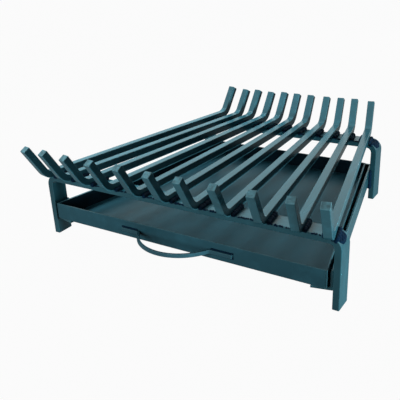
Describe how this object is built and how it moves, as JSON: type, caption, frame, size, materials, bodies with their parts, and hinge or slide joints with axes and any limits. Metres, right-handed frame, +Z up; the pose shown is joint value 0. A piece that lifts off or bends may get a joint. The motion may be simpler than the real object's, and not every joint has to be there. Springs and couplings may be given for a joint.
{
  "type": "log grate",
  "caption": "Steel hearth grate with a fan of square fire bars, ends turned up to hold logs, on two flat-bar arches, with an ash tray that slides out on angle rails.",
  "frame": {"origin": "on the hearth, under the middle of the grate's overall width and depth", "axes": "+Z up from the hearth, +X to the right seen from the front, +Y to the rear, so the ash tray's handle points along -Y"},
  "size_m": [0.5116, 0.5038, 0.1732],
  "materials": {
    "arch_steel": "satin dark paint, baked on, worn on the edges",
    "bar_steel": "satin dark paint over rolled square bar, scuffed on top",
    "rail_steel": "satin dark paint over rolled angle iron",
    "tray_sheet": "satin dark paint over folded sheet, dusty",
    "handle_steel": "satin dark paint",
    "weld": "dark paint over a rough bead"
  },
  "bodies": {
    "grate": {"front_frame": "arch_steel", "rear_frame": "arch_steel", "left_rail": "rail_steel", "right_rail": "rail_steel", "rear_stop": "rail_steel", "fire_bar_01": "bar_steel", "fire_bar_02": "bar_steel", "fire_bar_03": "bar_steel", "fire_bar_04": "bar_steel", "fire_bar_05": "bar_steel", "fire_bar_06": "bar_steel", "fire_bar_07": "bar_steel", "fire_bar_08": "bar_steel", "fire_bar_09": "bar_steel", "fire_bar_10": "bar_steel", "fire_bar_11": "bar_steel", "front_bar_welds": "weld", "rear_bar_welds": "weld", "rail_welds": "weld"},
    "tray": {"ash_tray": "tray_sheet", "tray_handle": "handle_steel", "handle_welds": "weld"}
  },
  "joints": [
    {"name": "tray_slide", "type": "slide", "parent": "grate", "child": "tray", "axis": [0, -1, 0], "range_m": [0, 0.36]}
  ]
}
